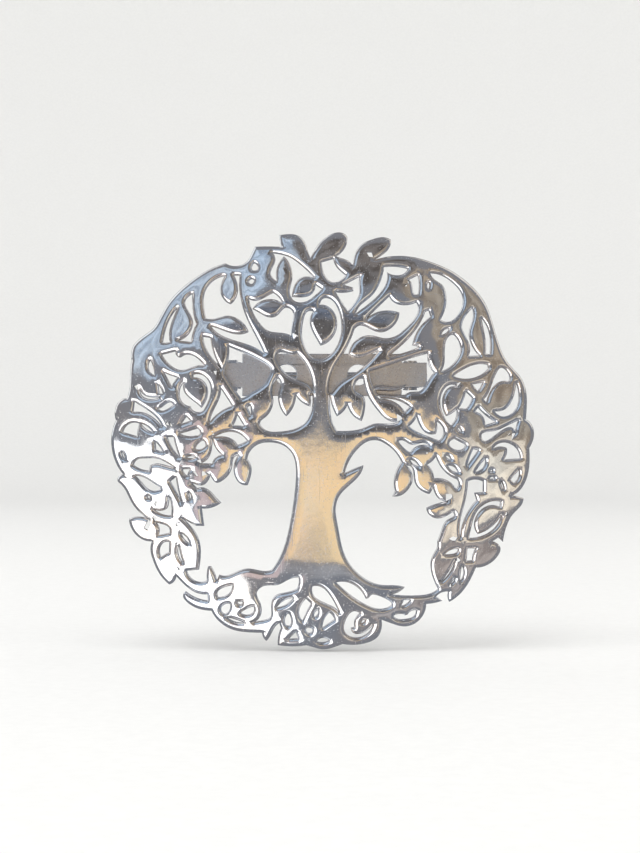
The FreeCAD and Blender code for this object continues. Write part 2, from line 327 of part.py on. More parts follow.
# The openings on the right, from the top down.
RIGHT_OPENINGS = [
    [sharp(15.5, 7.7), (16.9, 8.6), (18.4, 9.12), sharp(19.6, 9.05), sharp(19.65, 8.6), (18.4, 7.7),
     (16.9, 7.4)],
    # round the leaf at the right edge
    [(21.2, 8.7), (20.6, 8.0), (20.1, 6.8), sharp(19.1, 4.95), sharp(19.4, 4.6), (20.0, 6.1), (20.9, 7.0),
     sharp(22.1, 7.1), (22.1, 8.1)],
    [sharp(23.05, 6.9), (23.38, 5.3), (22.9, 3.7), (21.8, 2.98), sharp(20.4, 3.55), (21.8, 3.9),
     (22.7, 5.3)],
    [sharp(17.75, 6.7), sharp(19.0, 6.95), (18.7, 6.4), sharp(18.35, 5.95)],
    # round the leaf beside the long branch
    [sharp(15.9, 6.5), (14.9, 6.6), (14.1, 5.6), (14.0, 4.0), sharp(15.2, 1.9), (15.7, 2.6),
     sharp(15.85, 3.75), (15.3, 3.3), sharp(14.62, 2.98), (14.18, 4.1), (14.35, 5.6), (14.95, 6.35)],
    [sharp(16.95, 5.85), sharp(17.7, 5.15), (17.4, 4.4), sharp(17.0, 3.85), sharp(16.15, 3.95), (16.6, 4.7)],
    [sharp(18.4, 4.0), (19.4, 3.0), sharp(20.5, 2.3), sharp(19.25, 1.95), (19.0, 2.9), sharp(18.05, 3.55)],
    [sharp(11.15, 2.9), (10.7, 2.2), sharp(10.25, 1.8), (11.4, 1.05), (12.7, 0.52), sharp(13.8, 0.12),
     (14.3, 0.9), sharp(13.52, 2.3), (13.55, 1.5), sharp(13.4, 0.88), (12.3, 0.98), (11.5, 1.9)],
    [sharp(15.55, 0.3), (15.0, -0.4), (15.6, -0.9), sharp(16.9, -0.4)],
    [sharp(16.0, 1.62), (16.22, 1.5), sharp(16.38, 1.18), (16.12, 1.32)],
    [sharp(17.85, -0.9), sharp(18.4, -1.05), (17.8, -1.9), sharp(17.1, -2.85), (17.4, -1.9)],
    [sharp(19.25, -2.05), (19.1, -2.95), sharp(18.1, -3.55), (18.7, -2.7)],
    [sharp(14.55, -1.72), (14.95, -1.8), sharp(15.12, -2.12), (14.8, -1.98)],
    [sharp(14.85, -2.85), (15.5, -3.0), sharp(15.98, -3.62), (15.3, -3.4)],
    [(19.9, -3.45), (20.02, -3.35), (20.12, -3.45), (20.02, -3.55)],
    [sharp(19.8, -4.42), (20.08, -4.2), sharp(20.38, -4.42), (20.1, -4.4)],
    [sharp(21.15, -4.75), (21.42, -5.2), sharp(21.5, -5.75), (21.28, -5.3)],
    [sharp(23.3, 2.5), (21.9, 1.85), (20.2, 1.2), (18.8, 0.7), (19.0, 0.15), (20.2, 0.55), sharp(22.9, 0.95),
     (23.0, 1.6)],
    [sharp(20.2, -0.85), (21.5, -0.15), (22.9, -0.7), sharp(23.5, -2.02), sharp(21.55, -2.12),
     (21.85, -1.5), sharp(21.85, -0.75), (21.0, -0.6)],
    [sharp(23.35, -3.4), (23.3, -4.3), sharp(22.75, -4.95), sharp(22.35, -4.5), (22.8, -4.0)],
    [sharp(13.4, -1.8), (13.0, -2.3), sharp(12.4, -2.7), (13.0, -3.5), sharp(13.2, -4.35), (14.9, -4.65),
     sharp(15.8, -5.6), (16.1, -5.1), sharp(15.9, -4.5), (14.5, -3.6), (13.7, -2.5)],
    [sharp(9.0, 0.05), (9.6, 0.08), (10.5, -0.38), (11.6, -0.2), sharp(12.65, -0.52), (11.3, -0.5),
     sharp(10.4, -1.28), (9.5, -0.6)],
    [sharp(10.4, -2.15), (10.95, -2.4), sharp(11.4, -2.9), (10.9, -2.75)],
    # the long gap beside the right-hand stem
    [sharp(17.2, -4.7), (18.1, -4.5), sharp(19.0, -4.75), sharp(19.0, -6.0), sharp(17.95, -6.05),
     sharp(18.25, -6.95), (17.2, -8.3), sharp(16.32, -11.3), (16.25, -9.8), (16.7, -7.8), (17.05, -6.2)],
    # round the leaf in the lower right ring
    [sharp(21.15, -7.15), (19.7, -7.2), (18.5, -8.0), (17.75, -9.6), sharp(17.35, -11.4), (19.3, -11.05),
     (20.6, -10.1), sharp(21.25, -8.7), (20.3, -9.95), sharp(18.4, -10.95), (18.0, -9.6), (18.9, -8.0),
     sharp(21.05, -7.75)],
    [sharp(16.05, -12.68), (15.2, -12.82), sharp(14.5, -13.32), (15.4, -13.3), (16.0, -13.0)],
    [sharp(17.2, -12.65), sharp(18.2, -12.65), (17.9, -13.3), sharp(17.8, -14.1), sharp(17.1, -14.15)],
    [sharp(15.7, -14.1), (15.35, -15.1), sharp(14.1, -16.62), (15.05, -15.3)],
    [sharp(16.55, -14.75), (16.8, -15.6), sharp(16.38, -16.55), (16.42, -15.6)],
    [sharp(15.7, -16.15), (15.65, -16.5), sharp(15.2, -16.85), (15.5, -16.5)],
]

# The openings among the roots, from left to right.
ROOT_OPENINGS = [
    [sharp(-10.55, -16.95), (-11.6, -17.25), (-12.35, -17.85), sharp(-12.3, -18.45), (-11.0, -17.95)],
    [sharp(-10.85, -19.25), (-11.6, -19.35), (-11.95, -19.8), sharp(-11.5, -20.5), (-10.95, -19.95)],
    [sharp(-9.2, -17.3), sharp(-9.8, -17.95), sharp(-9.2, -17.95)],
    [sharp(-9.95, -18.95), sharp(-9.4, -18.95), (-9.85, -19.25)],
    [sharp(-8.1, -19.5), (-8.9, -19.8), sharp(-9.6, -20.3), (-8.8, -20.55), (-8.15, -20.2)],
    [sharp(-11.3, -20.85), (-10.3, -21.1), sharp(-9.2, -21.5), (-10.3, -21.42)],
    # the large gap left of the middle root
    [sharp(-2.75, -16.0), (-3.9, -16.25), (-5.2, -16.9), (-7.0, -17.1), (-7.7, -17.9), (-7.3, -19.1),
     (-7.15, -20.2), sharp(-8.0, -21.4), (-6.9, -21.2), (-6.1, -20.8), (-6.0, -19.6), (-5.6, -18.3),
     (-4.4, -17.85), sharp(-3.0, -17.4), (-2.75, -16.8)],
    [sharp(-3.4, -18.45), (-4.5, -18.8), sharp(-5.35, -19.62), (-4.3, -19.3)],
    [(-4.0, -20.35), (-3.65, -21.0), sharp(-4.0, -21.85), (-4.3, -20.8)],
    [sharp(-1.9, -18.55), (-2.5, -19.4), (-2.7, -20.4), sharp(-2.3, -21.2), (-1.9, -20.3),
     sharp(-1.3, -19.1)],
    [sharp(-1.1, -17.05), (-0.4, -17.05), (0.8, -17.95), sharp(2.05, -20.2), (0.5, -19.15), (-1.0, -18.15)],
    [sharp(-3.1, -22.6), sharp(-3.95, -23.45), sharp(-2.8, -23.4)],
    [(-1.5, -22.05), (-1.12, -22.4), (-1.5, -22.75), (-1.88, -22.4)],
    [sharp(-0.5, -19.9), (-0.5, -20.4), sharp(-0.9, -20.75), (-0.85, -20.25)],
    [sharp(0.85, -20.2), (1.3, -20.65), sharp(1.5, -21.05), sharp(0.05, -22.05), (0.2, -21.2)],
    [sharp(1.25, -22.55), sharp(1.9, -22.3), sharp(1.75, -22.65)],
    [sharp(-0.6, -23.75), (0.3, -23.3), sharp(0.85, -23.62), (0.2, -23.86)],
    [sharp(1.65, -16.6), (2.8, -16.55), (3.9, -17.0), sharp(5.15, -18.55), sharp(5.45, -18.5),
     sharp(5.8, -18.1), (7.2, -18.4), (8.25, -19.3), (7.3, -19.78), (5.4, -19.4), (3.6, -18.3)],
    # round the curl of the right-hand root
    [sharp(4.5, -20.3), (3.6, -20.1), (2.85, -21.0), (2.72, -22.6), (3.6, -23.25), (5.1, -23.0),
     sharp(6.05, -21.55), (5.2, -22.5), (3.75, -22.72), sharp(3.4, -22.1), sharp(3.85, -22.0), (3.85, -21.2)],
    [sharp(4.65, -21.48), (4.85, -21.15), sharp(5.08, -21.08), (4.95, -21.42)],
    [sharp(9.7, -18.75), sharp(10.45, -18.75), (10.1, -19.15), sharp(9.35, -19.45)],
    [(8.5, -20.7), (9.1, -20.42), sharp(9.8, -20.6), sharp(10.15, -20.5), (10.5, -20.12), sharp(11.15, -20.0),
     (10.9, -20.75), (9.8, -21.1), (8.8, -20.98)],
]

OPENINGS = [LEFT_WINDOW, RIGHT_WINDOW] + CROWN_OPENINGS + LEFT_OPENINGS + NECK_OPENINGS
OPENINGS += RIGHT_OPENINGS + ROOT_OPENINGS


def flat_faces(outlines):
    """One flat face for each outline."""
    faces = [Part.Face(outline(points)) for points in outlines]
    return faces[0] if len(faces) == 1 else Part.makeCompound(faces)


def bind(thing, pairs):
    """Binds properties of an object to expressions over the sheet."""
    for name, expression in pairs.items():
        thing.setExpression(name, expression)


# ---------------------------------------------------------------- tree_plate

def dome_profile():
    """Half the section of the blank: flat in the middle, curving back towards the rim."""
    sketch = doc.addObject("Sketcher::SketchObject", "dome_profile")
    flat = size("flat_radius")
    thick = size("plate_thickness")
    dome = size("dome_radius")
    edge = size("blank_radius")
    turn = math.asin((edge - flat) / dome)
    centre = Vector(flat, dome, 0)
    sketch.addGeometry(Part.LineSegment(Vector(0, 0, 0), Vector(flat, 0, 0)))
    front = Part.Circle(centre, Vector(0, 0, 1), dome)
    sketch.addGeometry(Part.ArcOfCircle(front, -math.pi / 2, -math.pi / 2 + turn))
    rim_front = centre + Vector(math.sin(turn), -math.cos(turn), 0) * dome
    rim_back = centre + Vector(math.sin(turn), -math.cos(turn), 0) * (dome - thick)
    sketch.addGeometry(Part.LineSegment(rim_front, rim_back))
    back = Part.Circle(centre, Vector(0, 0, 1), dome - thick)
    sketch.addGeometry(Part.ArcOfCircle(back, -math.pi / 2, -math.pi / 2 + turn))
    sketch.addGeometry(Part.LineSegment(Vector(flat, thick, 0), Vector(0, thick, 0)))
    sketch.addGeometry(Part.LineSegment(Vector(0, thick, 0), Vector(0, 0, 0)))
    joins = [(0, 2, 1, 1), (1, 2, 2, 1), (2, 2, 3, 2), (3, 1, 4, 1), (4, 2, 5, 1), (5, 2, 0, 1)]
    for first, first_end, second, second_end in joins:
        sketch.addConstraint(Sketcher.Constraint("Coincident", first, first_end, second, second_end))
    sketch.addConstraint(Sketcher.Constraint("Coincident", 0, 1, -1, 1))
    sketch.addConstraint(Sketcher.Constraint("Horizontal", 0))
    sketch.addConstraint(Sketcher.Constraint("Horizontal", 4))
    sketch.addConstraint(Sketcher.Constraint("Vertical", 5))
    sketch.addConstraint(Sketcher.Constraint("Coincident", 1, 3, 3, 3))
    sketch.addConstraint(Sketcher.Constraint("DistanceX", 0, 2, 1, 3, 0.0))
    named = [("flat_radius", Sketcher.Constraint("DistanceX", 0, 1, 0, 2, flat)),
             ("dome_radius", Sketcher.Constraint("Radius", 1, dome)),
             ("plate_thickness", Sketcher.Constraint("DistanceY", 5, 2, 5, 1, thick)),
             ("blank_radius", Sketcher.Constraint("DistanceX", -1, 1, 1, 2, edge))]
    for name, constraint in named:
        index = sketch.addConstraint(constraint)
        sketch.renameConstraint(index, name)
        sketch.setExpression("Constraints." + name, "Sizes." + name)
    return sketch


def prism(name, outlines):
    """Outlines carried straight back through the whole depth of the blank."""
    drawing = doc.addObject("Part::Feature", name + "_drawing")
    drawing.Shape = flat_faces(outlines)
    drawing.Placement.Base = Vector(0, -1, 0)
    solid = doc.addObject("Part::Extrusion", name)
    solid.Base = drawing
    solid.DirMode = "Custom"
    solid.Dir = Vector(0, 1, 0)
    solid.Solid = True
    bind(solid, {"LengthFwd": "Sizes.plate_thickness + 6"})
    return solid


def make_tree_plate():
    """The blank turned from its section, trimmed to the rim and pierced, with one leaf left across."""
    blank = doc.addObject("Part::Revolution", "dome_blank")
    blank.Source = dome_profile()
    blank.Axis = Vector(0, 1, 0)
    blank.Angle = 360
    blank.Solid = True
    trimmed = doc.addObject("Part::Common", "trimmed_blank")
    trimmed.Base = blank
    trimmed.Tool = prism("rim_prism", [RIM])
    pierced = doc.addObject("Part::Cut", "pierced_blank")
    pierced.Base = trimmed
    pierced.Tool = prism("opening_prisms", OPENINGS)
    leaf = doc.addObject("Part::Common", "crossing_leaf")
    leaf.Base = blank
    leaf.Tool = prism("crossing_leaf_prism", [CROSSING_LEAF])
    plate = doc.addObject("Part::Fuse", "tree_plate")
    plate.Base = pierced
    plate.Tool = leaf
    bind(plate, {".Placement.Base.y": PLATE_FRONT_IS, ".Placement.Base.z": "-Sizes.disc_drop"})
    return plate


tree_plate = make_tree_plate()


# ---------------------------------------------------------------- the pin on the back

def box(name, corner, extents):
    """A block from a corner and extents, each given as an expression over the sheet."""
    block = doc.addObject("Part::Box", name)
    bind(block, {"Length": extents[0], "Width": extents[1], "Height": extents[2],
                 ".Placement.Base.x": corner[0], ".Placement.Base.y": corner[1],
                  ".Placement.Base.z": corner[2]})
    return block


TURN_TO = {
    "x": FreeCAD.Rotation(Vector(0, 1, 0), 90),
    "y": FreeCAD.Rotation(Vector(1, 0, 0), -90),
    "z": FreeCAD.Rotation(Vector(0, 0, 1), 0),
}


def rod(name, along, start, radius, length):
    """A round bar that runs from its start in the positive direction of an axis."""
    cylinder = doc.addObject("Part::Cylinder", name)
    cylinder.Placement = FreeCAD.Placement(Vector(0, 0, 0), TURN_TO[along])
    bind(cylinder, {"Radius": radius, "Height": length, ".Placement.Base.x": start[0],
                    ".Placement.Base.y": start[1], ".Placement.Base.z": start[2]})
    return cylinder


def fuse(name, pieces):
    """One solid made of several that meet."""
    joined = doc.addObject("Part::MultiFuse", name)
    joined.Shapes = pieces
    joined.Refine = True
    return joined


def cut(name, base, tools):
    """The base with every tool taken out of it."""
    tool = tools[0] if len(tools) == 1 else fuse(name + "_tools", tools)
    result = doc.addObject("Part::Cut", name)
    result.Base = base
    result.Tool = tool
    result.Refine = True
    return result


def make_solder_joints():
    """Three spots of solder that hold the bar to the trunk's neck and to a branch on each side."""
    spots = []
    places = {"neck": (-0.15, -1.1, 0.5), "left": (-6.6, -1.85, 0.45), "right": (6.4, 1.15, 0.45)}
    for name, (across, up, radius) in places.items():
        start = (str(across), PLATE_BACK_IS, str(up))
        spots.append(rod("solder_" + name, "y", start, str(radius), "Sizes.solder_gap"))
    return fuse("solder_joints", spots)


def make_pin_bar():
    """The strip with its two holes, the hinge's ears at its +X end and the catch's ring at the other."""
    base = [
        box("bar_strip", ("-Sizes.bar_length / 2", BAR_FRONT_IS, "-Sizes.bar_width / 2"),
            ("Sizes.bar_length", "Sizes.bar_thickness", "Sizes.bar_width")),
        box("bar_ends",
            ("-Sizes.catch_start - Sizes.catch_length - 0.8", BAR_FRONT_IS, "-Sizes.ear_width / 2"),
            ("2 * (Sizes.catch_start + Sizes.catch_length + 0.8)", "Sizes.bar_thickness", "Sizes.ear_width")),
    ]
    for side, low in [("upper", "Sizes.ear_width / 2 - Sizes.ear_thickness"),
                      ("lower", "-Sizes.ear_width / 2")]:
        base.append(box("ear_foot_" + side,
                        ("Sizes.hinge_reach - Sizes.ear_radius", BAR_BACK_IS + " - 0.1", low),
                        ("2 * Sizes.ear_radius", "Sizes.axis_height + 0.1", "Sizes.ear_thickness")))
        base.append(rod("ear_" + side, "z", ("Sizes.hinge_reach", "0", low),
                        "Sizes.ear_radius", "Sizes.ear_thickness"))
    ring_start = "-Sizes.catch_start - Sizes.catch_length"
    base.append(rod("catch_ring", "x", (ring_start, "0", "0"), "Sizes.catch_outer", "Sizes.catch_length"))
    base.append(box("catch_foot", (ring_start, BAR_BACK_IS + " - 0.1", "-1.2"),
                    ("Sizes.catch_length", "0.6", "2.4")))
    tools = [
        rod("rivet_bore", "z", ("Sizes.hinge_reach", "0", "-3"), "Sizes.rivet_radius + 0.02", "6"),
        rod("catch_bore", "x", (ring_start + " - 1", "0", "0"),
            "Sizes.catch_inner", "Sizes.catch_length + 2"),
        box("catch_mouth_cut", (ring_start + " - 1", "0", "-Sizes.catch_mouth / 2"),
            ("Sizes.catch_length + 2", "3", "Sizes.catch_mouth")),
    ]
    for side, sign in [("left", "-"), ("right", "")]:
        tools.append(rod("bar_hole_" + side, "y",
                         (sign + "Sizes.bar_hole_spacing / 2", BAR_FRONT_IS + " - 1", "0"),
                         "Sizes.bar_hole_radius", "3"))
    return cut("pin_bar", fuse("pin_bar_blank", base), tools)


def make_hinge_rivet():
    """The rivet through the ears, with a head on each outer face."""
    span = "Sizes.ear_width + 2 * Sizes.rivet_head_height"
    low = "-Sizes.ear_width / 2 - Sizes.rivet_head_height"
    shank = rod("rivet_shank", "z", ("Sizes.hinge_reach", "0", low), "Sizes.rivet_radius", span)
    heads = [
        rod("rivet_head_low", "z", ("Sizes.hinge_reach", "0", low),
            "Sizes.rivet_head_radius", "Sizes.rivet_head_height"),
        rod("rivet_head_top", "z", ("Sizes.hinge_reach", "0", "Sizes.ear_width / 2"), "Sizes.rivet_head_radius",
            "Sizes.rivet_head_height"),
    ]
    return fuse("hinge_rivet", [shank] + heads)


def make_pin_stem():
    """The needle: an eye round the rivet, a short collar, a straight shaft towards -X and a long point."""
    eye = rod("eye", "z", ("Sizes.hinge_reach", "0", "-Sizes.eye_height / 2"),
              "Sizes.eye_radius", "Sizes.eye_height")
    shaft = rod("shaft", "x", ("-Sizes.needle_end", "0", "0"), "Sizes.needle_radius",
                "Sizes.needle_end + Sizes.hinge_reach")
    collar = rod("needle_collar", "x", ("Sizes.collar_start", "0", "0"), "Sizes.collar_radius",
                 "Sizes.hinge_reach - Sizes.collar_start")
    point = doc.addObject("Part::Cone", "point")
    point.Placement = FreeCAD.Placement(Vector(0, 0, 0), TURN_TO["x"])
    bind(point, {"Radius1": "0.03", "Radius2": "Sizes.needle_radius", "Height": "Sizes.needle_point",
                 ".Placement.Base.x": "-Sizes.needle_end - Sizes.needle_point"})
    bore = rod("eye_bore", "z", ("Sizes.hinge_reach", "0", "-3"),
               "Sizes.rivet_radius + Sizes.eye_clearance", "6")
    return cut("pin_stem", fuse("pin_stem_blank", [eye, collar, shaft, point]), [bore])


def make_catch_roller():
    """The rolling lock: a slotted hub with a flange at each end and a thumb tab on the outer one."""
    ring_start = "-Sizes.catch_start - Sizes.catch_length"
    outer = ring_start + " - Sizes.flange_gap - Sizes.flange_width"
    inner = "-Sizes.catch_start + Sizes.flange_gap"
    whole = "Sizes.catch_length + 2 * Sizes.flange_gap + 2 * Sizes.flange_width"
    hub = rod("roller_hub", "x", (outer, "0", "0"), "Sizes.roller_radius", whole)
    flanges = [rod("flange_outer", "x", (outer, "0", "0"), "Sizes.flange_radius", "Sizes.flange_width"),
               rod("flange_inner", "x", (inner, "0", "0"), "Sizes.flange_radius", "Sizes.flange_width")]
    tab = doc.addObject("Part::Box", "thumb_tab")
    lean = FreeCAD.Rotation(Vector(1, 0, 0), 75)
    tab.Placement = FreeCAD.Placement(Vector(0, 0, 0), lean)
    start = lean.multVec(Vector(0, 0.9, -size("tab_width") / 2))
    bind(tab, {"Length": "Sizes.flange_width", "Width": "Sizes.tab_reach - 0.9", "Height": "Sizes.tab_width",
               ".Placement.Base.x": outer, ".Placement.Base.y": str(start.y),
                ".Placement.Base.z": str(start.z)})
    bore = rod("roller_bore_cut", "x", (outer + " - 1", "0", "0"), "Sizes.roller_bore", whole + " + 2")
    slot = box("roller_slot_cut", (outer + " - 1", "0", "-Sizes.roller_slot / 2"),
               (whole + " + 2", "3", "Sizes.roller_slot"))
    return cut("catch_roller", fuse("catch_roller_blank", [hub] + flanges + [tab]), [bore, slot])


NODES = {
    "tree_plate": tree_plate,
    "solder_joints": make_solder_joints(),
    "pin_bar": make_pin_bar(),
    "hinge_rivet": make_hinge_rivet(),
    "pin_stem": make_pin_stem(),
    "catch_roller": make_catch_roller(),
}
for label, node in NODES.items():
    node.Label = label

# ---------------------------------------------------------------- checks and hand-over

doc.recompute()
for thing in doc.Objects:
    if "Invalid" in thing.State or "Error" in thing.State:
        raise RuntimeError("%s did not recompute: %s" % (thing.Name, thing.State))
os.makedirs("parts", exist_ok=True)
for label, node in NODES.items():
    shape = node.Shape
    if shape.isNull() or not shape.isValid() or not shape.Solids:
        raise RuntimeError("%s has no valid solid" % label)
    shape.exportStep("parts/%s.step" % label)
    print("%s: %d solid(s), %.2f cubic mm" % (label, len(shape.Solids), shape.Volume))
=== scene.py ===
"""The tree of life brooch: a mirror-polished openwork disc with softened edges, and the pin on its back."""
import math

import bpy
import numpy as np
from mathutils import Matrix, Vector, kdtree
from mathutils.geometry import delaunay_2d_cdt


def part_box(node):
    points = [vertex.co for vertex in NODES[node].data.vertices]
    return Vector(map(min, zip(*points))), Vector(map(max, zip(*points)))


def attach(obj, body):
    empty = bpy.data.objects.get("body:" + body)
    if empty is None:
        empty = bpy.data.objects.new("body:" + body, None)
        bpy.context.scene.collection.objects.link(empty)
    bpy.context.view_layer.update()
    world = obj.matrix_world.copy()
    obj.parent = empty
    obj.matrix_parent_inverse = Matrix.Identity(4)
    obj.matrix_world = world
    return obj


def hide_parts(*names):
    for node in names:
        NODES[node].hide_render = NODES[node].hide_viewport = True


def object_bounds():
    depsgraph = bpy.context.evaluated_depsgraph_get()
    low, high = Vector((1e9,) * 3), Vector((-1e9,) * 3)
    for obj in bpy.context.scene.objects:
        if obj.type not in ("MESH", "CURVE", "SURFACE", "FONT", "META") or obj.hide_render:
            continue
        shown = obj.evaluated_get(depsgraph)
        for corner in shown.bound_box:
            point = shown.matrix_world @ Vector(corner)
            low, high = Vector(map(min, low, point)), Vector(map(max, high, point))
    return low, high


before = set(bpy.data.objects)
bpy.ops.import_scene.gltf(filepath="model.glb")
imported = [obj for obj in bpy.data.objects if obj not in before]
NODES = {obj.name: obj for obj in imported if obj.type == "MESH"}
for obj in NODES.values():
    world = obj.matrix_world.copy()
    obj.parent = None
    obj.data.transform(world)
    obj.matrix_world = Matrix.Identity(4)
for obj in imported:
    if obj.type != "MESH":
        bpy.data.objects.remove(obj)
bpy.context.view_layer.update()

MM = 0.001

# ---------------------------------------------------------------- the disc's form, in metres

DISC_DROP = 7.85 * MM            # the disc's centre lies this far below the bar
FLAT_RADIUS = 14.0 * MM
DOME_RADIUS = 30.0 * MM
THICKNESS = 1.1 * MM
EDGE_ROUND = 0.48 * MM           # the polished front edges
PILLOW_REACH = 1.5 * MM          # the polishing wheel has also worn the face down gently near its edges
PILLOW_DEPTH = 0.045 * MM
EDGE_STEP = 0.11 * MM            # spacing of points along the outlines
FACE_STEP = 0.34 * MM            # spacing of points over the open face
RINGS = (0.13, 0.3, 0.5, 0.73, 1.0)   # rows of points across the rounded edge, as parts of its radius
WIDEST_LEAN = 0.9                # the dome is followed out to this part of its radius

PLATE_LOW, PLATE_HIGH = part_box("tree_plate")
FRONT = PLATE_LOW[1]


def front_loops(node):
    """The outlines of the plate's front face: closed rows of (x, z) points, the metal on their left."""
    mesh = node.data
    corners = {}
    where = []
    index = []
    for vertex in mesh.vertices:
        key = tuple(round(value / 1e-7) for value in vertex.co)
        if key not in corners:
            corners[key] = len(where)
            where.append((vertex.co.x, vertex.co.z))
        index.append(corners[key])
    edges = set()
    for face in mesh.polygons:
        if face.normal.y > -0.5:
            continue
        ring = [index[v] for v in face.vertices]
        for a, b in zip(ring, ring[1:] + ring[:1]):
            if a == b:
                continue
            if (b, a) in edges:
                edges.discard((b, a))
            else:
                edges.add((a, b))
    following = dict(edges)
    loops = []
    while following:
        start = next(iter(sorted(following)))
        loop = [start]
        step = following.pop(start)
        while step != start and step in following:
            loop.append(step)
            step = following.pop(step)
        if len(loop) > 3:
            loops.append(np.array([where[i] for i in loop]))
    return loops


def resampled(loop, spacing):
    """The same outline with every long side divided evenly."""
    rows = []
    for a, b in zip(loop, np.roll(loop, -1, axis=0)):
        parts = max(1, int(math.ceil(np.linalg.norm(b - a) / spacing)))
        rows += [a + (b - a) * k / parts for k in range(parts)]
    return np.array(rows)


def thinned(loop, least):
    """The outline without points that crowd their neighbour."""
    kept = [loop[0]]
    for point in loop[1:]:
        if np.linalg.norm(point - kept[-1]) >= least:
            kept.append(point)
    return np.array(kept)


def side_normals(loop):
    """At every point, the direction in the face that points out of the metal."""
    along = np.roll(loop, -1, axis=0) - np.roll(loop, 1, axis=0)
    out = np.stack([along[:, 1], -along[:, 0]], axis=1)
    return out / np.maximum(np.linalg.norm(out, axis=1, keepdims=True), 1e-12)


def dome(points, radius, depth):
    """Depth of a domed face behind the front of the plate, at (x, z) points."""
    reach = np.hypot(points[:, 0], points[:, 1] + DISC_DROP) - FLAT_RADIUS
    reach = np.clip(reach, 0, radius * WIDEST_LEAN)
    return depth + radius - np.sqrt(radius * radius - reach * reach)


def dome_normals(points, radius):
    """Unit normals of the domed front, pointing to the viewer."""
    across = np.hypot(points[:, 0], points[:, 1] + DISC_DROP)
    reach = np.clip(across - FLAT_RADIUS, 0, radius * WIDEST_LEAN)
    lean = reach / radius
    spread = lean / np.maximum(across, 1e-9)
    up = (points[:, 1] + DISC_DROP) * spread
    return np.stack([points[:, 0] * spread, -np.sqrt(1 - lean * lean), up], axis=1)


class Edge:
    """Distances and directions to the nearest outline."""

    def __init__(self, loops):
        self.points = np.concatenate(loops)
        self.before = np.concatenate([np.roll(loop, 1, axis=0) for loop in loops])
        self.after = np.concatenate([np.roll(loop, -1, axis=0) for loop in loops])
        self.out = np.concatenate([side_normals(loop) for loop in loops])
        self.tree = kdtree.KDTree(len(self.points))
        for i, point in enumerate(self.points):
            self.tree.insert((point[0], point[1], 0), i)
        self.tree.balance()

    def nearest(self, places):
        """Distance, unit direction to the outline and nearest outline point's index, for each place."""
        index = np.array([self.tree.find((p[0], p[1], 0))[1] for p in places])
        here = self.points[index]
        best = here - places
        for other in (self.before[index], self.after[index]):
            side = other - here
            length = np.maximum((side * side).sum(axis=1), 1e-18)
            share = np.clip(((places - here) * side).sum(axis=1) / length, 0, 1)[:, None]
            offset = here + side * share - places
            closer = (offset * offset).sum(axis=1) < (best * best).sum(axis=1)
            best[closer] = offset[closer]
        distance = np.linalg.norm(best, axis=1)
        direction = best / np.maximum(distance, 1e-12)[:, None]
        return distance, direction, index


def face_points(loops, edge):
    """Points inside the outlines: rows that follow each edge, then an even field between them."""
    rows = []
    for part in RINGS:
        inset = EDGE_ROUND * part
        for loop in loops:
            moved = loop - side_normals(loop) * inset
            distance = edge.nearest(moved)[0]
            rows.append(moved[np.abs(distance - inset) < 0.06 * inset])
    low = edge.points.min(axis=0)
    high = edge.points.max(axis=0)
    tall = FACE_STEP * math.sqrt(0.75)
    field = []
    for j in range(int((high[1] - low[1]) / tall) + 1):
        shift = 0.5 * FACE_STEP * (j % 2)
        for i in range(int((high[0] - low[0]) / FACE_STEP) + 1):
            field.append((low[0] + shift + i * FACE_STEP, low[1] + j * tall))
    field = np.array(field)
    distance, direction, index = edge.nearest(field)
    inside = (direction * edge.out[index]).sum(axis=1) > 0
    rows.append(field[inside & (distance > EDGE_ROUND + 0.5 * FACE_STEP)])
    return np.concatenate(rows)


def triangulated(loops, inner):
    """Triangles that fill the outlines, holes left open."""
    outline_points = np.concatenate(loops)
    places = np.concatenate([outline_points, inner])
    edges = []
    start = 0
    for loop in loops:
        count = len(loop)
        edges += [(start + i, start + (i + 1) % count) for i in range(count)]
        start += count
    grown = [Vector((p[0] / MM, p[1] / MM)) for p in places]
    made = delaunay_2d_cdt(grown, edges, [], 2, 1e-7)
    flat = np.array([(v.x * MM, v.y * MM) for v in made[0]])
    return flat, np.array([tuple(face) for face in made[2]])


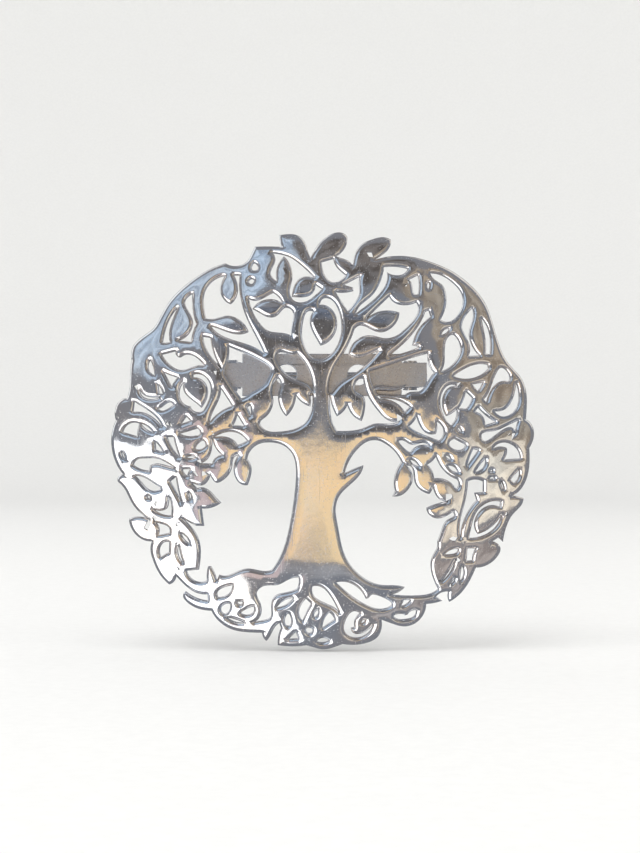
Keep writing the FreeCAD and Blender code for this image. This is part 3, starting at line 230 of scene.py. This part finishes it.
def make_plate(name):
    """The pierced disc with rounded, polished front edges and a plain back."""
    loops = []
    for loop in front_loops(NODES["tree_plate"]):
        loops.append(thinned(resampled(loop, EDGE_STEP), 0.25 * EDGE_STEP))
    edge = Edge(loops)
    inner = face_points(loops, edge)
    flat, faces = triangulated(loops, inner)
    distance, direction, index = edge.nearest(flat[faces].mean(axis=1))
    faces = faces[(direction * edge.out[index]).sum(axis=1) > 0]
    distance, direction, index = edge.nearest(flat)
    on_edge = distance < 0.02 * EDGE_ROUND
    direction[on_edge] = edge.out[index[on_edge]]
    share = np.clip(1 - distance / EDGE_ROUND, 0, 1)
    sunk = EDGE_ROUND * (1 - np.sqrt(1 - share * share))
    wear = np.clip(1 - distance / PILLOW_REACH, 0, 1)
    front_y = FRONT + dome(flat, DOME_RADIUS, 0) + sunk + PILLOW_DEPTH * wear * wear
    base = dome_normals(flat, DOME_RADIUS)
    outward = np.stack([direction[:, 0], np.zeros(len(flat)), direction[:, 1]], axis=1)
    outward -= base * (outward * base).sum(axis=1)[:, None]
    base = base + outward * (2 * PILLOW_DEPTH / PILLOW_REACH * wear)[:, None]
    base /= np.linalg.norm(base, axis=1, keepdims=True)
    front_normals = outward * share[:, None] + base * np.sqrt(1 - share * share)[:, None]
    back_y = FRONT + dome(flat, DOME_RADIUS - THICKNESS, THICKNESS)
    count = len(flat)
    verts = [(flat[i, 0], front_y[i], flat[i, 1]) for i in range(count)]
    verts += [(flat[i, 0], back_y[i], flat[i, 1]) for i in range(count)]
    normals = list(front_normals) + list(-base)
    polygons = []
    border = {}
    for a, b, c in faces:
        first = flat[b] - flat[a]
        second = flat[c] - flat[a]
        turn = first[0] * second[1] - first[1] * second[0]
        if turn < 0:
            b, c = c, b
        polygons.append((a, b, c))
        polygons.append((count + a, count + c, count + b))
        for p, q in ((a, b), (b, c), (c, a)):
            if (q, p) in border:
                del border[(q, p)]
            else:
                border[(p, q)] = True
    wall = {}

    def wall_point(i):
        """The pair of points that carry the wall behind an outline point."""
        if i not in wall:
            out = (direction[i, 0], 0.0, direction[i, 1])
            wall[i] = len(verts)
            verts.append((flat[i, 0], front_y[i], flat[i, 1]))
            verts.append((flat[i, 0], back_y[i], flat[i, 1]))
            normals.extend([out, out])
        return wall[i]

    for p, q in border:
        u = wall_point(p)
        w = wall_point(q)
        polygons.append((u, u + 1, w + 1, w))
    mesh = bpy.data.meshes.new(name)
    mesh.from_pydata(verts, [], polygons)
    mesh.validate()
    mesh.polygons.foreach_set("use_smooth", [True] * len(mesh.polygons))
    mesh.normals_split_custom_set_from_vertices([Vector(n).normalized() for n in normals])
    mesh.update()
    plate = bpy.data.objects.new(name, mesh)
    bpy.context.scene.collection.objects.link(plate)
    return plate


# ---------------------------------------------------------------- materials

class Nodes:
    """A short way to add and join shader nodes."""

    def __init__(self, name):
        self.material = bpy.data.materials.new(name)
        self.material.use_nodes = True
        self.tree = self.material.node_tree
        self.tree.nodes.clear()

    def add(self, kind, inputs=None, **settings):
        node = self.tree.nodes.new(kind)
        for key, value in settings.items():
            setattr(node, key, value)
        for key, value in (inputs or {}).items():
            if isinstance(value, bpy.types.NodeSocket):
                self.tree.links.new(value, node.inputs[key])
            else:
                node.inputs[key].default_value = value
        return node


def noise_field(nodes, place, scale, detail):
    """Even noise at one scale."""
    return nodes.add("ShaderNodeTexNoise", {"Vector": place, "Scale": scale, "Detail": detail}).outputs["Fac"]


def stretched_noise(nodes, place, turn, scale, detail=2.0):
    """Noise drawn out into fine lines that run at an angle in the face."""
    mapping = nodes.add("ShaderNodeMapping", {"Vector": place, "Rotation": (0, turn, 0), "Scale": scale})
    noise = nodes.add("ShaderNodeTexNoise", {"Vector": mapping.outputs[0], "Scale": 1.0, "Detail": detail})
    return noise.outputs["Fac"]


def ramp(nodes, value, low, high):
    """A value spread from 0 at low to 1 at high."""
    spread = nodes.add("ShaderNodeMapRange", {"Value": value, "From Min": low, "From Max": high})
    return spread.outputs[0]


def blend(nodes, share, first, second):
    """Two colours mixed by a share."""
    mix = nodes.add("ShaderNodeMix", {0: share, 6: first, 7: second}, data_type="RGBA")
    return mix.outputs[2]


def math_node(nodes, operation, first, second):
    """One step of arithmetic."""
    return nodes.add("ShaderNodeMath", {0: first, 1: second}, operation=operation).outputs[0]


def polished_metal(name, cool, warm, roughness, scratch_depth):
    """Mirror-polished metal with hairline scratches, specks of dust and a slight drift of colour."""
    nodes = Nodes(name)
    place = nodes.add("ShaderNodeTexCoord").outputs["Object"]
    drift = noise_field(nodes, place, 160.0, 3.0)
    colour = blend(nodes, ramp(nodes, drift, 0.38, 0.62), cool, warm)
    lines = None
    for turn, along, across in ((0.5, 260.0, 9000.0), (-0.9, 330.0, 11000.0), (1.35, 200.0, 7600.0)):
        hair = stretched_noise(nodes, place, turn, (across, 900.0, along))
        hair = ramp(nodes, hair, 0.69, 0.78)
        lines = hair if lines is None else math_node(nodes, "MAXIMUM", lines, hair)
    pits = noise_field(nodes, place, 5200.0, 4.0)
    swell = noise_field(nodes, place, 700.0, 2.0)
    cells = nodes.add("ShaderNodeTexVoronoi", {"Vector": place, "Scale": 4200.0})
    lot = nodes.add("ShaderNodeSeparateColor", {0: cells.outputs["Color"]}).outputs[0]
    chosen = ramp(nodes, lot, 0.42, 0.5)
    specks = math_node(nodes, "MULTIPLY", ramp(nodes, cells.outputs["Distance"], 0.2, 0.12), chosen)
    height = math_node(nodes, "MULTIPLY", lines, -0.4)
    height = math_node(nodes, "ADD", height, math_node(nodes, "MULTIPLY", pits, 0.55))
    height = math_node(nodes, "ADD", height, math_node(nodes, "MULTIPLY", swell, 2.6))
    height = math_node(nodes, "ADD", height, math_node(nodes, "MULTIPLY", specks, 2.5))
    bump = nodes.add("ShaderNodeBump", {"Height": height, "Strength": 1.0, "Distance": scratch_depth})
    rough = math_node(nodes, "MULTIPLY_ADD", pits, roughness * 0.8)
    rough.node.inputs[2].default_value = roughness * 0.6
    rough = math_node(nodes, "ADD", rough, math_node(nodes, "MULTIPLY", lines, 0.22))
    rough = math_node(nodes, "ADD", rough, math_node(nodes, "MULTIPLY", specks, 0.6))
    colour = blend(nodes, math_node(nodes, "MULTIPLY", specks, 0.5), colour, (0.93, 0.93, 0.92, 1))
    shader = nodes.add("ShaderNodeBsdfPrincipled", {"Base Color": colour, "Roughness": rough,
                                                    "Normal": bump.outputs[0]})
    shader.inputs["Metallic"].default_value = 1.0
    nodes.add("ShaderNodeOutputMaterial", {"Surface": shader.outputs[0]})
    return nodes.material


def matt_surface(name, colour):
    """Plain studio paper."""
    nodes = Nodes(name)
    place = nodes.add("ShaderNodeTexCoord").outputs["Object"]
    grain = noise_field(nodes, place, 900.0, 3.0)
    shade = blend(nodes, ramp(nodes, grain, 0.3, 0.7), colour, tuple(0.97 * c for c in colour[:3]) + (1,))
    shader = nodes.add("ShaderNodeBsdfPrincipled", {"Base Color": shade})
    shader.inputs["Roughness"].default_value = 0.85
    nodes.add("ShaderNodeOutputMaterial", {"Surface": shader.outputs[0]})
    return nodes.material


def give(obj, material):
    """One material for the whole object."""
    obj.data.materials.clear()
    obj.data.materials.append(material)


def soften(obj, width):
    """Small rounded edges on a CAD node, made by modifiers only."""
    weld = obj.modifiers.new("weld", "WELD")
    weld.merge_threshold = 0.001 * MM
    edge_bevel = obj.modifiers.new("soft_edges", "BEVEL")
    edge_bevel.width = width
    edge_bevel.segments = 2
    edge_bevel.limit_method = "ANGLE"
    edge_bevel.angle_limit = math.radians(40)
    edge_bevel.harden_normals = True


# ---------------------------------------------------------------- the object

plate_metal = polished_metal("plate_metal", (0.80, 0.82, 0.85, 1), (0.86, 0.82, 0.79, 1), 0.10, 0.0000022)
bar_metal = polished_metal("bar_metal", (0.72, 0.76, 0.82, 1), (0.78, 0.76, 0.74, 1), 0.30, 0.000003)
finding_metal = polished_metal("finding_metal", (0.70, 0.71, 0.73, 1), (0.76, 0.74, 0.71, 1), 0.16, 0.0000016)
solder_metal = polished_metal("solder_metal", (0.50, 0.52, 0.55, 1), (0.56, 0.55, 0.54, 1), 0.28, 0.000003)

plate = make_plate("polished_tree")
give(plate, plate_metal)
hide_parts("tree_plate")
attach(plate, "brooch")

give(NODES["pin_bar"], bar_metal)
give(NODES["catch_roller"], finding_metal)
give(NODES["pin_stem"], finding_metal)
give(NODES["hinge_rivet"], finding_metal)
give(NODES["solder_joints"], solder_metal)

for label, width in (("pin_bar", 0.08 * MM), ("catch_roller", 0.06 * MM), ("hinge_rivet", 0.06 * MM)):
    soften(NODES[label], width)

# ---------------------------------------------------------------- studio

CENTRE = Vector(((PLATE_LOW[0] + PLATE_HIGH[0]) / 2, FRONT, -DISC_DROP))
SWEEP_RADIUS = 0.75              # in metres
SWEEP_BEND = 0.30
SWEEP_HEIGHT = 1.6
SWEEP_ROWS = 16                  # rows of points round the bend
SWEEP_SIDES = 64
FLOOR_GAP = 0.2 * MM             # the paper lies this far below the brooch
FLOOR_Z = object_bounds()[0][2] - FLOOR_GAP


def flat_panel(name, width, height, material):
    """A rectangle in its own XY plane, facing its own +Z."""
    mesh = bpy.data.meshes.new(name)
    x = width / 2
    y = height / 2
    mesh.from_pydata([(-x, -y, 0), (x, -y, 0), (x, y, 0), (-x, y, 0)], [], [(0, 1, 2, 3)])
    panel = bpy.data.objects.new(name, mesh)
    bpy.context.scene.collection.objects.link(panel)
    give(panel, material)
    return panel


def make_sweep():
    """A round floor that curves up into a wall on every side, so each view has paper behind it."""
    profile = [(0.0, 0.0)]
    for a in np.linspace(0, math.pi / 2, SWEEP_ROWS):
        reach = SWEEP_RADIUS - SWEEP_BEND + SWEEP_BEND * math.sin(a)
        profile.append((reach, SWEEP_BEND - SWEEP_BEND * math.cos(a)))
    profile.append((SWEEP_RADIUS, SWEEP_HEIGHT))
    sides = SWEEP_SIDES
    verts = []
    for reach, rise in profile:
        for k in range(sides):
            turn = 2 * math.pi * k / sides
            verts.append((reach * math.cos(turn), reach * math.sin(turn), FLOOR_Z + rise))
    faces = []
    for i in range(len(profile) - 1):
        for k in range(sides):
            after = (k + 1) % sides
            low = i * sides
            high = low + sides
            faces.append((low + k, low + after, high + after, high + k))
    mesh = bpy.data.meshes.new("sweep")
    mesh.from_pydata(verts, [], faces)
    mesh.polygons.foreach_set("use_smooth", [True] * len(faces))
    sweep = bpy.data.objects.new("sweep", mesh)
    bpy.context.scene.collection.objects.link(sweep)
    give(sweep, matt_surface("studio_paper", (0.80, 0.80, 0.79, 1)))
    sweep.visible_glossy = False
    sweep.visible_shadow = False
    return sweep


def glow(name, colour, strength, other, patch):
    """A card that gives off light in soft patches of two colours. patch is how many cross the card."""
    nodes = Nodes(name)
    place = nodes.add("ShaderNodeTexCoord").outputs["Generated"]
    cloud = noise_field(nodes, place, patch, 3.0)
    shade = blend(nodes, ramp(nodes, cloud, 0.42, 0.58), colour + (1,), other + (1,))
    emission = nodes.add("ShaderNodeEmission", {"Color": shade, "Strength": strength})
    nodes.add("ShaderNodeOutputMaterial", {"Surface": emission.outputs[0]})
    return nodes.material


def facing(place, target):
    """A placement at a point, with its own +Z towards the target."""
    return Matrix.Translation(place) @ (target - place).to_track_quat("Z", "Y").to_matrix().to_4x4()


def card(name, side, up, distance, width, height, strength, colour, other, patch, roll=0.0):
    """A reflector seen only in the metal. side, up and roll are degrees; roll tips its top to the right."""
    a = math.radians(side)
    e = math.radians(up)
    way = Vector((math.sin(a) * math.cos(e), -math.cos(a) * math.cos(e), math.sin(e)))
    panel = flat_panel(name, width, height, glow(name + "_glow", colour, strength, other, patch))
    tipped = Matrix.Rotation(math.radians(roll), 4, "Z")
    panel.matrix_world = facing(CENTRE + way * distance, CENTRE) @ tipped
    panel.visible_camera = False
    panel.visible_shadow = False
    panel.visible_diffuse = False
    return panel


make_sweep()

# name, angle to the side, angle up, distance, width, height, strength, two colours, patches across, roll
CARDS = (
    ("front_tan", 3.5, -4.2, 0.26, 0.088, 0.034, 1.25, (0.86, 0.64, 0.37), (0.80, 0.60, 0.38), 2.0),
    ("trunk_white", -1.2, -4.5, 0.25, 0.0021, 0.031, 1.1, (0.94, 0.88, 0.88), (0.78, 0.68, 0.70), 3.0, 5.7),
    ("trunk_dark", -0.5, -6.6, 0.24, 0.0030, 0.012, 0.8, (0.16, 0.16, 0.18), (0.30, 0.27, 0.25), 2.0, 21.0),
    ("left_pink", -10.5, -9.0, 0.30, 0.042, 0.10, 0.9, (0.80, 0.66, 0.66), (0.62, 0.52, 0.56), 3.0),
    ("front_grey", 0.0, 5.5, 0.30, 0.10, 0.032, 0.5, (0.36, 0.34, 0.33), (0.12, 0.11, 0.11), 7.0),
    ("crown_blue", -3.0, 13.5, 0.31, 0.13, 0.042, 0.62, (0.38, 0.44, 0.56), (0.13, 0.13, 0.15), 7.0),
    ("roots_grey", 0.0, -13.5, 0.32, 0.14, 0.05, 0.85, (0.52, 0.52, 0.54), (0.30, 0.30, 0.32), 6.0),
    ("left_white", -45.0, -27.0, 0.34, 0.38, 0.34, 1.9, (1.0, 0.99, 0.97), (0.95, 0.96, 1.0), 3.0),
    ("left_blue", -36.0, 34.0, 0.34, 0.30, 0.24, 1.25, (0.56, 0.68, 0.82), (0.24, 0.29, 0.37), 10.0),
    ("top_brown", 6.0, 38.0, 0.36, 0.20, 0.16, 0.6, (0.42, 0.40, 0.40), (0.16, 0.14, 0.13), 7.0),
    ("right_beige", 40.0, 16.0, 0.34, 0.26, 0.26, 0.75, (0.60, 0.53, 0.44), (0.34, 0.29, 0.24), 6.0),
    ("right_pale", 33.0, -9.0, 0.33, 0.22, 0.09, 1.35, (0.80, 0.74, 0.63), (0.50, 0.46, 0.40), 4.0),
    ("right_low", 34.0, -33.0, 0.34, 0.22, 0.16, 0.8, (0.62, 0.58, 0.57), (0.34, 0.31, 0.31), 5.0),
    ("back_left", -140.0, 25.0, 0.36, 0.30, 0.30, 1.2, (0.95, 0.97, 1.0), (0.7, 0.72, 0.78), 3.0),
    ("back_right", 140.0, 30.0, 0.36, 0.26, 0.30, 1.0, (1.0, 0.96, 0.9), (0.7, 0.67, 0.62), 3.0),
)
for row in CARDS:
    card(*row)


def soft_light(name, place, width, energy, colour):
    """A large studio light for the paper, left out of the metal's reflections."""
    data = bpy.data.lights.new(name, "AREA")
    data.shape = "SQUARE"
    data.size = width
    data.energy = energy
    data.color = colour
    lamp = bpy.data.objects.new(name, data)
    aim = (place - CENTRE).to_track_quat("Z", "Y").to_matrix().to_4x4()
    lamp.matrix_world = Matrix.Translation(place) @ aim
    lamp.visible_glossy = False
    lamp.visible_camera = False
    bpy.context.scene.collection.objects.link(lamp)
    return lamp


soft_light("overhead", Vector((-0.25, -0.35, 0.95)), 0.8, 6.5, (1.0, 1.0, 1.0))
soft_light("fill", Vector((0.40, -0.10, 0.80)), 0.8, 2.6, (1.0, 0.98, 0.95))

ROOM_COLOUR = (0.26, 0.27, 0.30, 1)
ROOM_STRENGTH = 0.9

world = bpy.data.worlds.new("room")
bpy.context.scene.world = world
world.use_nodes = True
background = world.node_tree.nodes["Background"]
background.inputs["Color"].default_value = ROOM_COLOUR
background.inputs["Strength"].default_value = ROOM_STRENGTH

# ---------------------------------------------------------------- camera

FRAME_WIDTH = 75.1 * MM          # what the picture's width covers at the plate
LOOK_SIDE = -0.235 * MM          # the view's centre, from the disc's centre
LOOK_UP = 1.76 * MM
LENS = 100.0
SENSOR = 36.0

camera_data = bpy.data.cameras.new("camera")
camera_data.sensor_fit = "HORIZONTAL"
camera_data.sensor_width = SENSOR
camera_data.lens = LENS
camera_data.clip_start = 0.005
camera = bpy.data.objects.new("camera", camera_data)
bpy.context.scene.collection.objects.link(camera)
camera_distance = FRAME_WIDTH * LENS / SENSOR
camera.location = (LOOK_SIDE, FRONT - camera_distance, -DISC_DROP + LOOK_UP)
camera.rotation_euler = (math.pi / 2, 0, 0)
bpy.context.scene.camera = camera

bpy.context.scene.view_settings.view_transform = "Standard"
